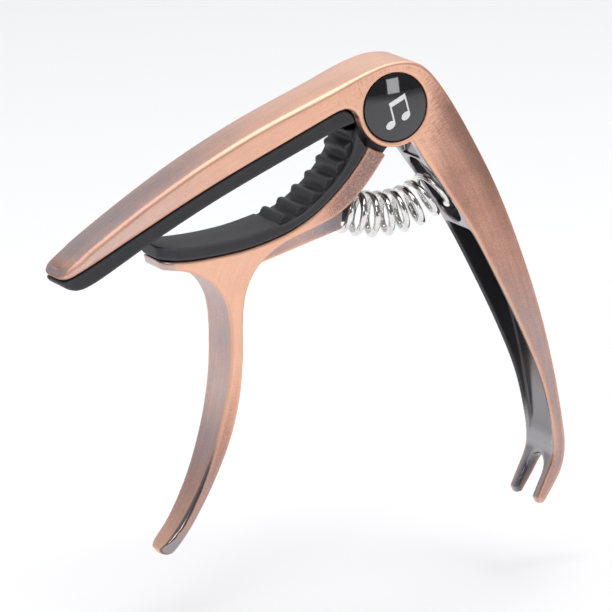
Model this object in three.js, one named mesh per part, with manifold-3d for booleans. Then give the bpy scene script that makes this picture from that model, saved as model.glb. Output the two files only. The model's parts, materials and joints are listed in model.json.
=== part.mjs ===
// Trigger capo for a guitar, standing on the tips of its two handles.
// Millimetres, +Z up. X runs along the capo, Y along the pivot pin.
// Every outline is drawn in the X-Z plane with the pivot pin's axis at (0, 0).
import * as THREE from 'three';
import { mergeVertices } from 'three/addons/utils/BufferGeometryUtils.js';
import Module from 'manifold-3d';

const wasm = await Module();
wasm.setup();

// ---- driving dimensions ----
const PIVOT_X = 16.65; // pivot axis from the middle of the capo's length
const PIVOT_HEIGHT = 79; // pivot axis above the surface it stands on

const BODY_HALF_WIDTH = 6; // hub and rear handle
const ARM_TAPER_START = -8; // the arm narrows from here to its tip
const ARM_TAPER = 0.0034; // share of its width that the arm loses per mm
const EDGE_ROUND = 0.6;
const HUB_RADIUS = 7.4;
const WALL = 1.1; // side walls of the rear handle
const CHANNEL_TOP = -25.8; // upper end of the handle's channel
const CHANNEL_BOTTOM = -67;
const SLOT_HALF_WIDTH = 3.6; // slot in the hub for the lever's tongue
const EYE_RADIUS = 5.4;
const EYE_HALF_WIDTH = 2.7;
const PIN_RADIUS = 2;
const PIN_HALF_LENGTH = 4.5;
const BORE_RADIUS = 2.3;
const NOTCH_RADIUS = 3.1; // bridge pin notch of the fork
const NOTCH_HEIGHT = -74.2;
const RECESS_DEPTH = 1.4; // groove under the arm for the string pad
const RECESS_HALF_WIDTH = 4.4;
const RECESS_END = -61.5;
const INSERT_DEPTH = 1.1;
const INSERT_HALF_WIDTH = 4;
const STRING_PAD_HALF_WIDTH = 5.6;
const NECK_PAD_HALF_WIDTH = 5.7;

const LEVER_HALF_WIDTH = 5.3;
const TRIGGER_TAPER_START = -42; // the trigger narrows from here to its tip
const TRIGGER_TAPER = 0.0108; // share of its width that the trigger loses per mm
const CORE_HALF_WIDTH = 4.2;

const BADGE_RECESS_RADIUS = 6.5;
const BADGE_RADIUS = 6.2;
const BADGE_SEAT_Y = 4.75;
const BADGE_DISC_THICKNESS = 0.5;
const BADGE_DOME_EDGE = 0.2;
const BADGE_DOME_RISE = 0.7;
const BADGE_FILM = 0.2; // glue under the disc
const RESIN_FILM = 0.15; // glue under the dome

const RIB_COUNT = 6.5;
const RIB_HEIGHT = 1.1;
const RIB_HALF_WIDTH = 4.4;

const SPRING_RADIUS = 3.7; // to the middle of the wire
const WIRE_RADIUS = 0.65;
const SPRING_TURNS = 7.5;
const SPRING_SEAT_DEPTH = 2.3;
const SPRING_SEAT_RADIUS = 4.7;
const SPRING_TILT = 16; // degrees that the spring's jaw end points downwards
const POCKET_RADIUS = 4.75; // pocket for the spring in the jaw's back
const POCKET_LENGTH = 9;
const PEG_LENGTH = 5.2;
const WASHER_INNER_RADIUS = 2.4;
const WASHER_OUTER_RADIUS = 4.8;
const WASHER_THICKNESS = 0.4;
const GAP = 0.3; // between neighbours
const CHORD_ERROR = 0.04; // how far a curved outline's flats may stray from the curve
const WELD = 0.005; // edges shorter than this are closed up

// ---- outlines ----
const ARM_TOP = [
  [-66.9, -24.0], [-65.9, -23.1], [-63, -21.2], [-60, -19.0], [-50, -12.8], [-39, -6.7], [-27, -1.1],
  [-14, 3.9], [-6, 7.0], [0, 8.4], [5.4, 7.5], [9.9, 2.5],
];
const HANDLE_BACK = [
  [9.9, 2.5], [15.0, -6.2], [20.6, -17.6], [25.3, -30.0], [29.0, -42.0], [31.8, -54.5],
  [33.5, -66.0], [33.6, -70.2], [32.8, -73.2], [31.3, -75.7], [29.8, -77.9],
];
const HANDLE_FRONT = [
  [27.4, -77.9], [28.8, -75.0], [30.2, -72.2], [31.1, -69.4], [31.0, -65.0], [29.1, -55.8], [25.4, -46.2],
  [20.2, -35.0], [15.3, -25.4], [10.4, -17.4], [5.4, -10.0],
];
const ARM_UNDERSIDE = [
  [-12.2, 0.2], [-21.6, -3.8], [-37.2, -10.6], [-52.5, -18.1], [-60.2, -22.0], [-65.6, -24.5],
];
const CHANNEL_FLOOR = [
  [20.4, -20.2], [24.2, -30.4], [27.9, -42.4], [29.75, -50.6], [30.7, -58], [31.1, -63], [31.2, -67.6],
];
const CORE = [
  [-27.5, -26.2], [-10.5, -21.7], [-10.2, -16.5], [-24, -21.9],
];
const TONGUE = [
  [-5.0, -9.2], [-4.2, -2.8], [4.6, -2.8], [-3.0, -10.8],
];
const JAW_SEAT = [
  [-47.4, -23.2], [-42, -23.7], [-36, -23.5], [-30, -22.9], [-24, -21.5], [-19.6, -19.8],
  [-15.6, -17.5], [-11.6, -14.2], [-8.2, -10.7], [-5.6, -7.3],
];
const JAW_BACK = [
  [-1.9, -8.8], [-4.6, -12.3], [-7.6, -15.6], [-10.4, -17.9], [-13.5, -19.5], [-17.5, -20.9],
  [-21.9, -22.3], [-25.8, -24.4], [-28.8, -27.2], [-30.7, -31.0], [-31.5, -36], [-31.7, -43],
  [-32.4, -50.5], [-34.4, -58.5], [-37.9, -66.8], [-42.0, -74.0], [-44.9, -77.5],
];
const TRIGGER_TIP = [
  [-45.7, -78.5], [-46.5, -79.0], [-47.3, -79.0], [-48.1, -78.6],
];
const TRIGGER_FRONT = [
  [-48.4, -77.7], [-44.5, -73.2], [-40.1, -65.5], [-36.8, -57], [-34.8, -48.8], [-34.0, -41],
  [-34.2, -34.6], [-35.2, -31.2], [-37.3, -28.4], [-40.4, -26.4], [-43.6, -25.3], [-46.6, -25.0],
];
const STRING_FACE = [
  [-10.9, -2.75], [-21.5, -7.1], [-35.5, -13.1], [-48.0, -19.2], [-58.0, -24.6], [-61.2, -26.1],
  [-62.6, -26.55], [-64.0, -26.6], [-65.3, -26.2], [-66.1, -25.6], [-66.6, -24.95], [-65.6, -24.8],
];
const PAD_TOP = [
  [-47.6, -20.6], [-42, -21.0], [-36, -20.9], [-30, -20.3], [-23.9, -19.0],
];
const RIB_LINE = [
  [-23.9, -19.3], [-19.9, -18.0], [-16.6, -15.9], [-13.4, -13.4], [-10.6, -10.3], [-8.7, -7.2], [-8.0, -3.6],
];
const SPRING_LINE = [
  [-9.3, -18.9], [-3.4, -20.6], [1.2, -20.8], [6.2, -19.8], [10.9, -17.2],
];

function even(points, divisions) {
  const curve = new THREE.SplineCurve(points.map(([x, z]) => new THREE.Vector2(x, z)));
  return curve.getSpacedPoints(divisions);
}

function straysFrom(from, to, point) {
  const along = to.clone().sub(from).normalize();
  return Math.abs(along.cross(point.clone().sub(from)));
}

// A smooth line through the points, with a corner only where the curve leaves its chord.
function smooth(points) {
  const dense = even(points, 400);
  const kept = [dense[0]];
  let start = 0;
  for (let end = 2; end < dense.length; end += 1) {
    const between = dense.slice(start + 1, end);
    if (between.some((point) => straysFrom(dense[start], dense[end], point) > CHORD_ERROR)) {
      start = end - 1;
      kept.push(dense[start]);
    }
  }
  const last = dense[dense.length - 1];
  if (kept.length > 1 && kept[kept.length - 1].distanceTo(last) < 0.8) {
    kept.pop();
  }
  return [...kept, last];
}

function plain(points) {
  return points.map(([x, z]) => new THREE.Vector2(x, z));
}

function arc(x, z, radius, fromDegrees, toDegrees, divisions) {
  const points = [];
  for (let i = 0; i <= divisions; i += 1) {
    const angle = THREE.MathUtils.degToRad(fromDegrees + ((toDegrees - fromDegrees) * i) / divisions);
    points.push(new THREE.Vector2(x + radius * Math.cos(angle), z + radius * Math.sin(angle)));
  }
  return points;
}

// Moves a line of points sideways, to its left as it runs.
function offset(points, distance) {
  return points.map((point, i) => {
    const before = points[Math.max(i - 1, 0)];
    const after = points[Math.min(i + 1, points.length - 1)];
    const along = after.clone().sub(before).normalize();
    return new THREE.Vector2(point.x - along.y * distance, point.y + along.x * distance);
  });
}

// ---- solids ----
function solid(geometry) {
  const bare = geometry.clone();
  bare.deleteAttribute('normal');
  bare.deleteAttribute('uv');
  const merged = mergeVertices(bare, 1e-4);
  return new wasm.Manifold(new wasm.Mesh({
    numProp: 3,
    vertProperties: new Float32Array(merged.attributes.position.array),
    triVerts: new Uint32Array(merged.index.array),
  }));
}

function geometryOf(manifold) {
  const mesh = manifold.getMesh();
  const geometry = new THREE.BufferGeometry();
  const positions = new Float32Array(mesh.numVert * 3);
  for (let i = 0; i < mesh.numVert; i += 1) {
    positions.set(mesh.vertProperties.slice(i * mesh.numProp, i * mesh.numProp + 3), i * 3);
  }
  geometry.setAttribute('position', new THREE.BufferAttribute(positions, 3));
  geometry.setIndex(new THREE.BufferAttribute(new Uint32Array(mesh.triVerts), 1));
  return withoutSlivers(geometry);
}

// Closes up edges shorter than the weld distance, with the triangles that they bound.
function withoutSlivers(geometry) {
  const welded = mergeVertices(geometry, WELD);
  const old = welded.index.array;
  const kept = [];
  for (let i = 0; i < old.length; i += 3) {
    const [a, b, c] = [old[i], old[i + 1], old[i + 2]];
    if (a !== b && b !== c && c !== a) {
      kept.push(a, b, c);
    }
  }
  welded.setIndex(kept);
  return welded;
}

// Draws an anticlockwise outline inwards by the same distance all round.
function inset(outline, distance) {
  const count = outline.length;
  return outline.map((point, i) => {
    const before = point.clone().sub(outline[(i + count - 1) % count]).normalize();
    const after = outline[(i + 1) % count].clone().sub(point).normalize();
    const along = before.add(after).normalize();
    const reach = distance / Math.max(0.6, along.dot(after));
    return new THREE.Vector2(point.x - along.y * reach, point.y + along.x * reach);
  });
}

// A plate with the outline given in X-Z, centred on Y = 0, its edges rounded by `round`.
function plate(points, halfWidth, round = 0, steps = 3) {
  const outline = THREE.ShapeUtils.isClockWise(points) ? [...points].reverse() : points;
  const count = outline.length;
  const rings = [];
  for (let i = 0; i <= (round > 0 ? steps : 0); i += 1) {
    const angle = (Math.PI / 2) * (i / steps);
    rings.push({ y: halfWidth - round * (1 - Math.cos(angle)), shrink: round * (1 - Math.sin(angle)) });
  }
  const layers = [...rings.map(({ y, shrink }) => ({ y: -y, shrink })), ...rings.reverse()];
  const positions = layers.flatMap(({ y, shrink }) => (
    inset(outline, shrink).flatMap((point) => [point.x, y, point.y])
  ));
  const index = [];
  for (let layer = 0; layer < layers.length - 1; layer += 1) {
    for (let i = 0; i < count; i += 1) {
      const a = layer * count + i;
      const b = layer * count + ((i + 1) % count);
      index.push(a, a + count, b, b, a + count, b + count);
    }
  }
  const last = (layers.length - 1) * count;
  for (const [a, b, c] of THREE.ShapeUtils.triangulateShape(outline, [])) {
    index.push(a, b, c, last + a, last + c, last + b);
  }
  const geometry = new THREE.BufferGeometry();
  geometry.setAttribute('position', new THREE.Float32BufferAttribute(positions, 3));
  geometry.setIndex(index);
  return solid(geometry);
}

function block(x0, x1, y0, y1, z0, z1) {
  const geometry = new THREE.BoxGeometry(x1 - x0, y1 - y0, z1 - z0);
  geometry.translate((x0 + x1) / 2, (y0 + y1) / 2, (z0 + z1) / 2);
  return solid(geometry);
}

// A round bar along Y.
function bar(x, z, radius, y0, y1, sides = 40) {
  const geometry = new THREE.CylinderGeometry(radius, radius, y1 - y0, sides);
  geometry.translate(x, (y0 + y1) / 2, z);
  return solid(geometry);
}

// A flat shape drawn in (along, Y), set at a point of the X-Z plane and given depth both ways.
function acrossPlate(shape, x, z, alongDegrees, reach) {
  const geometry = new THREE.ExtrudeGeometry(shape, { depth: 2 * reach, bevelEnabled: false, curveSegments: 10 });
  geometry.translate(0, 0, -reach);
  geometry.rotateY(THREE.MathUtils.degToRad(-alongDegrees));
  geometry.translate(x, 0, z);
  return solid(geometry);
}

// Rounds the two corners of a plate's end as they are seen square on to the plate.
function roundEnd(body, x, z, outwardDegrees, halfWidth, radius, reach) {
  let result = body;
  for (const side of [-1, 1]) {
    const spare = 2;
    const shape = new THREE.Shape();
    shape.moveTo(-radius, side * halfWidth);
    shape.absarc(-radius, side * (halfWidth - radius), radius, (side * Math.PI) / 2, 0, side > 0);
    shape.lineTo(spare, side * (halfWidth - radius));
    shape.lineTo(spare, side * (halfWidth + spare));
    shape.lineTo(-radius, side * (halfWidth + spare));
    result = result.subtract(acrossPlate(shape, x, z, outwardDegrees, reach));
  }
  return result;
}

// Narrows a body, by a share of its width per mm, on the far side of a plane across X or Z.
function taper(body, axis, start, rate) {
  const far = 200;
  const [tipSide, rest] = axis === 'x'
    ? [block(-far, start, -far, far, -far, far), block(start, far, -far, far, -far, far)]
    : [block(-far, far, -far, far, -far, start), block(-far, far, -far, far, start, far)];
  const geometry = geometryOf(body.intersect(tipSide));
  const position = geometry.attributes.position;
  for (let i = 0; i < position.count; i += 1) {
    const past = Math.max(0, start - (axis === 'x' ? position.getX(i) : position.getZ(i)));
    position.setY(i, position.getY(i) * (1 - rate * past));
  }
  return solid(geometry).add(body.intersect(rest));
}

function taperArm(body) {
  return taper(body, 'x', ARM_TAPER_START, ARM_TAPER);
}

function taperTrigger(body) {
  return taper(body, 'z', TRIGGER_TAPER_START, TRIGGER_TAPER);
}

// ---- frame: arm, hub and rear handle in one casting ----
function frameOutline() {
  const tip = plain([[-66.4, -24.5]]);
  const top = smooth(ARM_TOP.concat(HANDLE_BACK.slice(1)));
  const prongTip = plain([[29.0, -79.0], [27.9, -79.0]]);
  const front = smooth(HANDLE_FRONT);
  const hub = arc(0, 0, HUB_RADIUS, -62, -163, 16);
  const fillet = plain([[-7.5, -0.9], [-8.2, 0.3], [-9.3, 0.9], [-10.6, 0.8]]);
  const underside = smooth(ARM_UNDERSIDE);
  return [...tip, ...top, ...prongTip, ...front, ...hub, ...fillet, ...underside];
}

function channel() {
  const rim = even(HANDLE_FRONT, 60).filter((p) => p.y > CHANNEL_BOTTOM && p.y < CHANNEL_TOP);
  const mouth = offset(rim, 3);
  return plate([...mouth, ...smooth(CHANNEL_FLOOR)], BODY_HALF_WIDTH - WALL);
}

// Shallow oval seat for the spring in the flat face under the hub.
function springSeat() {
  const half = 3;
  const shape = new THREE.Shape();
  shape.absarc(half, 0, SPRING_SEAT_RADIUS, -Math.PI / 2, Math.PI / 2, false);
  shape.absarc(-half, 0, SPRING_SEAT_RADIUS, Math.PI / 2, -Math.PI / 2, false);
  return acrossPlate(shape, 10.6, -17.5, -49.7, SPRING_SEAT_DEPTH);
}

function forkNotch() {
  const shape = new THREE.Shape();
  shape.absarc(0, 0, NOTCH_RADIUS, 0, Math.PI, false);
  shape.lineTo(-NOTCH_RADIUS, -12);
  shape.lineTo(NOTCH_RADIUS, -12);
  const geometry = new THREE.ExtrudeGeometry(shape, { depth: 20, bevelEnabled: false, curveSegments: 14 });
  geometry.rotateX(Math.PI / 2);
  geometry.rotateZ(Math.PI / 2);
  geometry.translate(20, 0, NOTCH_HEIGHT);
  return solid(geometry);
}

function padRecess() {
  const edge = even(ARM_UNDERSIDE, 24).filter((p) => p.x > RECESS_END);
  return taperArm(plate([...offset(edge, -RECESS_DEPTH), ...offset(edge, 2).reverse()], RECESS_HALF_WIDTH));
}

function makeFrame() {
  let body = taperArm(plate(frameOutline(), BODY_HALF_WIDTH, EDGE_ROUND));
  body = roundEnd(body, -67.1, -23.9, 205, 4.9, 3.4, 5);
  body = body.subtract(channel());
  body = body.subtract(springSeat());
  body = body.subtract(forkNotch());
  body = body.subtract(padRecess());
  body = body.subtract(bar(0, 0, EYE_RADIUS + 0.7, -SLOT_HALF_WIDTH, SLOT_HALF_WIDTH));
  body = body.subtract(block(-8.6, 6.4, -SLOT_HALF_WIDTH, SLOT_HALF_WIDTH, -10.6, 0));
  body = body.subtract(bar(0, 0, BORE_RADIUS, -10, 10));
  for (const side of [-1, 1]) {
    const [y0, y1] = side < 0 ? [-10, -BADGE_SEAT_Y] : [BADGE_SEAT_Y, 10];
    body = body.subtract(bar(0, 0, BADGE_RECESS_RADIUS, y0, y1, 48));
  }
  return body;
}

// ---- lever: jaw and trigger in one casting ----
function makeLever() {
  const stripEnd = arc(0, 0, 8.6, -127, -107, 5);
  const outline = [
    ...smooth(JAW_SEAT), ...stripEnd, ...smooth(JAW_BACK),
    ...plain(TRIGGER_TIP), ...smooth(TRIGGER_FRONT),
  ];
  let lever = taperTrigger(plate(outline, LEVER_HALF_WIDTH, 0.5, 2));
  lever = roundEnd(lever, -48.1, -79.0, 231, 3.4, 3.1, 6);
  lever = roundEnd(lever, -47.5, -24, 180, LEVER_HALF_WIDTH, 3.6, 4);
  lever = lever.add(plate(plain(CORE), CORE_HALF_WIDTH, 0.5));
  lever = lever.subtract(springPocket());
  lever = lever.add(plate(plain(TONGUE), EYE_HALF_WIDTH));
  lever = lever.add(bar(0, 0, EYE_RADIUS, -EYE_HALF_WIDTH, EYE_HALF_WIDTH));
  lever = lever.add(springPeg());
  return lever.subtract(bar(0, 0, BORE_RADIUS, -10, 10));
}

// A round shape along the spring's axis, set at its jaw end.
function alongSpring(radius0, radius1, start, length) {
  const geometry = new THREE.CylinderGeometry(radius1, radius0, length, 32);
  geometry.translate(0, start + length / 2, 0);
  geometry.rotateZ(THREE.MathUtils.degToRad(-90));
  geometry.rotateY(THREE.MathUtils.degToRad(SPRING_TILT));
  const [x, z] = SPRING_LINE[0];
  geometry.translate(x, 0, z);
  return solid(geometry);
}

function springPocket() {
  return alongSpring(POCKET_RADIUS, POCKET_RADIUS, -0.95, POCKET_LENGTH);
}

function springPeg() {
  return alongSpring(2.8, 2, -PEG_LENGTH / 2, PEG_LENGTH);
}

// ---- pads ----
function makeStringPad() {
  const edge = even(ARM_UNDERSIDE, 24);
  const top = offset(edge.slice(0, -1), GAP);
  const outline = [
    ...plain([[-8.0, -2.0], [-8.1, -0.9], [-8.7, 0], [-9.6, 0.5], [-10.6, 0.4]]), ...top,
    ...smooth(STRING_FACE).reverse(),
  ];
  let face = taperArm(plate(outline, STRING_PAD_HALF_WIDTH, 0.4, 2));
  face = roundEnd(face, -66.9, -25.2, 205, 4.7, 3, 5);
  const held = edge.filter((p) => p.x > RECESS_END + GAP && p.x < -12.6);
  const insert = plate([...offset(held, -INSERT_DEPTH), ...offset(held, 1).reverse()], INSERT_HALF_WIDTH);
  return face.add(taperArm(insert));
}

function makeNeckPad() {
  const seat = offset(smooth(JAW_SEAT), GAP);
  const base = [...seat.reverse(), ...smooth(PAD_TOP), ...smooth(RIB_LINE).slice(1)];
  let pad = plate(base, NECK_PAD_HALF_WIDTH, 0.35, 2);
  const line = even(RIB_LINE, RIB_COUNT * 8);
  const crests = line.map((point, i) => {
    const lift = RIB_HEIGHT * (0.5 - 0.5 * Math.cos((2 * Math.PI * i) / 8)) ** 0.8;
    const before = line[Math.max(i - 1, 0)];
    const after = line[Math.min(i + 1, line.length - 1)];
    const along = after.clone().sub(before).normalize();
    return new THREE.Vector2(point.x - along.y * lift, point.y + along.x * lift);
  });
  const root = offset(line, -0.6);
  pad = pad.add(plate([...crests, ...root.reverse()], RIB_HALF_WIDTH));
  return roundEnd(pad, -47.8, -22, 180, NECK_PAD_HALF_WIDTH, 3.8, 3);
}

// ---- spring ----
function makeSpring() {
  const line = new THREE.SplineCurve(plain(SPRING_LINE));
  const steps = Math.round(SPRING_TURNS * 16);
  const points = [];
  for (let i = 0; i <= steps; i += 1) {
    const share = i / steps;
    const centre = line.getPointAt(share);
    const along = line.getTangentAt(share);
    const turn = 2 * Math.PI * SPRING_TURNS * share;
    const across = SPRING_RADIUS * Math.cos(turn);
    points.push(new THREE.Vector3(
      centre.x - along.y * across,
      -SPRING_RADIUS * Math.sin(turn),
      centre.y + along.x * across,
    ));
  }
  const wire = new THREE.Shape();
  wire.absarc(0, 0, WIRE_RADIUS, 0, 2 * Math.PI, false);
  return new THREE.ExtrudeGeometry(wire, {
    steps,
    curveSegments: 8,
    bevelEnabled: false,
    extrudePath: new THREE.CatmullRomCurve3(points),
  });
}

// ---- pivot ----
function makePin() {
  const chamfer = 0.4;
  return new THREE.LatheGeometry(plain([
    [0, -PIN_HALF_LENGTH], [PIN_RADIUS - chamfer, -PIN_HALF_LENGTH],
    [PIN_RADIUS, -PIN_HALF_LENGTH + chamfer], [PIN_RADIUS, PIN_HALF_LENGTH - chamfer],
    [PIN_RADIUS - chamfer, PIN_HALF_LENGTH], [0, PIN_HALF_LENGTH],
  ]), 32);
}

function makeWasher() {
  const half = WASHER_THICKNESS / 2;
  const [inner, outer] = [WASHER_INNER_RADIUS, WASHER_OUTER_RADIUS];
  return new THREE.LatheGeometry(plain([
    [inner, -half], [outer, -half], [outer, half], [inner, half], [inner, -half],
  ]), 40);
}

// ---- badges ----
function makeBadgeDisc() {
  const half = BADGE_DISC_THICKNESS / 2;
  return new THREE.LatheGeometry(plain([
    [0, -half], [BADGE_RADIUS, -half], [BADGE_RADIUS, half], [0, half],
  ]), 48);
}

function makeBadgeDome() {
  const profile = [new THREE.Vector2(0, 0), new THREE.Vector2(BADGE_RADIUS, 0)];
  const steps = 6;
  for (let i = 0; i <= steps; i += 1) {
    const share = i / steps;
    profile.push(new THREE.Vector2(
      BADGE_RADIUS * (1 - share),
      BADGE_DOME_EDGE + BADGE_DOME_RISE * Math.sqrt(1 - (1 - share) ** 2),
    ));
  }
  return new THREE.LatheGeometry(profile, 48);
}

// ---- materials ----
const copper = new THREE.MeshStandardMaterial({ color: 0xd79c7e, roughness: 0.36, metalness: 1 });
const leverCopper = new THREE.MeshStandardMaterial({ color: 0xc98f74, roughness: 0.38, metalness: 1 });
const silicone = new THREE.MeshStandardMaterial({ color: 0x2c2c31, roughness: 0.75, metalness: 0 });
const neckSilicone = new THREE.MeshStandardMaterial({ color: 0x333338, roughness: 0.7, metalness: 0 });
const nickel = new THREE.MeshStandardMaterial({ color: 0xd5d3d0, roughness: 0.15, metalness: 1 });
const steel = new THREE.MeshStandardMaterial({ color: 0x9a9a9c, roughness: 0.3, metalness: 1 });
const nylon = new THREE.MeshStandardMaterial({ color: 0x17171a, roughness: 0.5, metalness: 0 });
const ink = new THREE.MeshStandardMaterial({ color: 0x0b0b0e, roughness: 0.4, metalness: 0 });
const resin = new THREE.MeshStandardMaterial({ color: 0x101014, roughness: 0.05, metalness: 0 });

// ---- assembly ----
const capo = new THREE.Group();
capo.position.set(PIVOT_X, 0, PIVOT_HEIGHT);

function place(name, geometry, material, y = 0, turnX = 0) {
  const mesh = new THREE.Mesh(geometry, material);
  mesh.name = name;
  mesh.position.y = y;
  mesh.rotation.x = turnX;
  capo.add(mesh);
}

place('frame_body', geometryOf(makeFrame()), copper);
place('clamp_lever', geometryOf(makeLever()), leverCopper);
place('string_pad', geometryOf(makeStringPad()), silicone);
place('neck_pad', geometryOf(makeNeckPad()), neckSilicone);
place('return_spring', makeSpring(), nickel);
place('pivot_pin', makePin(), steel);
for (const [side, label] of [[-1, 'front'], [1, 'back']]) {
  const washerY = side * (EYE_HALF_WIDTH + SLOT_HALF_WIDTH) / 2;
  const discY = side * (BADGE_SEAT_Y + BADGE_FILM + BADGE_DISC_THICKNESS / 2);
  const domeY = side * (BADGE_SEAT_Y + BADGE_FILM + BADGE_DISC_THICKNESS + RESIN_FILM);
  place(`thrust_washer_${label}`, makeWasher(), nylon, washerY);
  place(`badge_disc_${label}`, makeBadgeDisc(), ink, discY);
  place(`badge_dome_${label}`, makeBadgeDome(), resin, domeY, side < 0 ? Math.PI : 0);
}

export default capo;
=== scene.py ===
# Looks of a trigger capo: fine castings, pads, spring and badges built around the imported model.
# Lengths are millimetres from the pivot pin's axis, with X along the capo, Y along the pin and Z up.
import json
import math

import bpy
import numpy as np
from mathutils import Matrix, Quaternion, Vector


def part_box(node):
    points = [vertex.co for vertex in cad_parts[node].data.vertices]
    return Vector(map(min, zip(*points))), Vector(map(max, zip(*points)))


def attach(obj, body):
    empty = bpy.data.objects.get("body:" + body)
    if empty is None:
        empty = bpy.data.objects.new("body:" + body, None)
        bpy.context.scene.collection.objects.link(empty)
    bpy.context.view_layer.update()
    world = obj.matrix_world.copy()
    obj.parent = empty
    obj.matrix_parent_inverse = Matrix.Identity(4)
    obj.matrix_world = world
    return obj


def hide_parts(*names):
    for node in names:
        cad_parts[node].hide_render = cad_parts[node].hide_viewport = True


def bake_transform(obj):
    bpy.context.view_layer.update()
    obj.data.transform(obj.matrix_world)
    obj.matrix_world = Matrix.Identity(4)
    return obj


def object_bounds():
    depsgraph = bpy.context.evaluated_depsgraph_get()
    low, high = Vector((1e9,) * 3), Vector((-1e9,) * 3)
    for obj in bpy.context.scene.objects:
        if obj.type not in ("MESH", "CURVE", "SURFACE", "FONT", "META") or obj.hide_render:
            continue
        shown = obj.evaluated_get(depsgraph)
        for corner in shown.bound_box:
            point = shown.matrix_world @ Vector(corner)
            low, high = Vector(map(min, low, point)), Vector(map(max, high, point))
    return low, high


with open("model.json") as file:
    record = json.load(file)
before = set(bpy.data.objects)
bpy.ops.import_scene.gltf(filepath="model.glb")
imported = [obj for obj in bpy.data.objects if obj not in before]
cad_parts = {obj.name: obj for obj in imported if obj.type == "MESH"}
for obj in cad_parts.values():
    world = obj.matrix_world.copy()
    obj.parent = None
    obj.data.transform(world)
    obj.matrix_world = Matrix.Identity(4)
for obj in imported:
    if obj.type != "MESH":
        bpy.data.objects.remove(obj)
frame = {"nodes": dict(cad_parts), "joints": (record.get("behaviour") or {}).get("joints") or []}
cad_low, cad_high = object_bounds()

MM = 0.001
PIVOT = np.array(frame["joints"][0]["pos_m"], float) / MM
STEP = 0.22  # grid pitch that the castings and pads are drawn on
PAD_STEP = 0.18
FINE = 0.4  # spacing of points along an outline
WEAR_AND_SHEEN_REACH = 0.35  # how far around a point its curvature is measured
SHARPEST_BEND = 2.2
BORE_HALF_LENGTH = 10  # long enough to pass through everything

BODY_HALF_WIDTH = 6.0
ARM_TAPER_START = -8.0
ARM_TAPER = 0.0034
HUB_RADIUS = 7.4
WALL = 1.1
SLOT_HALF_WIDTH = 3.6
EYE_RADIUS = 5.4
EYE_HALF_WIDTH = 2.7
BORE_RADIUS = 2.3
NOTCH_RADIUS = 3.1
NOTCH_HEIGHT = -74.2
NOTCH_START = 20
FRAME_ROUNDING = 0.55
CROWN_HEIGHT = 0.65  # bulge along the middle of the arm's top
CROWN_HALF_WIDTH = 5.2
ARM_END = (-67.1, -23.9, 205)  # x, z and direction in degrees
ARM_END_HALF_WIDTH = 4.9
ARM_END_RADIUS = 3.4
CHANNEL_TOP = -25.8
CHANNEL_BOTTOM = -67
SEAT = (10.6, -17.5, -49.7)  # middle of the spring's seat on the handle, and its slope in degrees
SEAT_RADIUS = 4.7
SEAT_STRETCH = 3
SEAT_DEPTH = 2.3
GROOVE_DEPTH = 1.4  # groove under the arm that takes the string pad
GROOVE_HALF_WIDTH = 4.4
GROOVE_END = -61.5
EYE_CLEARANCE = 0.7
SLOT_SIDES = (-8.6, 6.4)
SLOT_BOTTOM = -10.6

LEVER_HALF_WIDTH = 5.3
TRIGGER_TAPER_START = -42.0
TRIGGER_TAPER = 0.0108
CORE_HALF_WIDTH = 4.2
LEVER_ROUNDING = 0.45
TRIGGER_END = (-48.0, -78.9, 231)
TRIGGER_END_HALF_WIDTH = 3.3
TRIGGER_END_RADIUS = 3.2
TRIGGER_END_STRETCH = 1.5
JAW_END = (-47.5, -24, 180)
JAW_END_RADIUS = 3.6
JAW_BOTTOM = -32  # the trigger is below this height
STRIP_END_RADIUS = 8.6
POCKET_RADIUS = 4.75  # shallow pocket and peg that hold the spring at the jaw
POCKET_DEPTH = 0.95
PEG_RADIUS = 2.4
PEG_TAPER = 0.15
PEG_LENGTH = 2.6

BADGE_RECESS_RADIUS = 6.5
BADGE_RADIUS = 6.2
BADGE_SEAT = 4.75
DOME_RIM = 0.2
DOME_RISE = 0.7
DOME_RINGS = 24
DOME_SECTORS = 96
NOTE_TILT = 14  # degrees
NOTE_DROP = 0.8
NOTE_HEAD = (1.0, 0.72)  # half length and half height of a note's head
NOTE_HEAD_TURN = 22
NOTE_HEADS = [(-1.75, -1.9), (1.55, -1.25)]
NOTE_STEM = [(0.62, 0.1), (0.95, 0.1), (0.95, 3.9), (0.62, 3.9)]
NOTE_BEAM = [(-1.13, 1.25), (2.5, 1.97), (2.5, 2.87), (-1.13, 2.15)]
NOTE_SPACING = 0.12
NOTE_HEAD_SIDES = 28
INK_LIFT = 0.02

PAD_GAP = 0.3
PAD_END_SLACK = 4  # points left off the string pad's top line at its blunt end
STRING_PAD_HALF_WIDTH = 5.6
STRING_PAD_END = (-66.9, -25.2, 205)
STRING_PAD_END_HALF_WIDTH = 4.7
STRING_PAD_END_RADIUS = 3.0
INSERT_HALF_WIDTH = 4.0  # the pad's tongue, which fills the arm's groove
INSERT_DEPTH = 1.1
INSERT_SIDES = (-61.1, -12.6)
NECK_PAD_HALF_WIDTH = 5.7
NECK_PAD_END = (-47.8, -22, 180)
NECK_PAD_END_RADIUS = 3.8
RIB_COUNT = 6.5
RIB_HEIGHT = 1.3
RIB_HALF_WIDTH = 4.4

SPRING_RADIUS = 3.7
WIRE_RADIUS = 0.65
SPRING_TURNS = 7.5
SPRING_SLOPE = -16  # degrees, at the jaw
STEPS_PER_TURN = 56
WIRE_SIDES = 16

FLOOR_DROP = 0.0132  # metres, which leaves room under the open trigger

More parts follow.
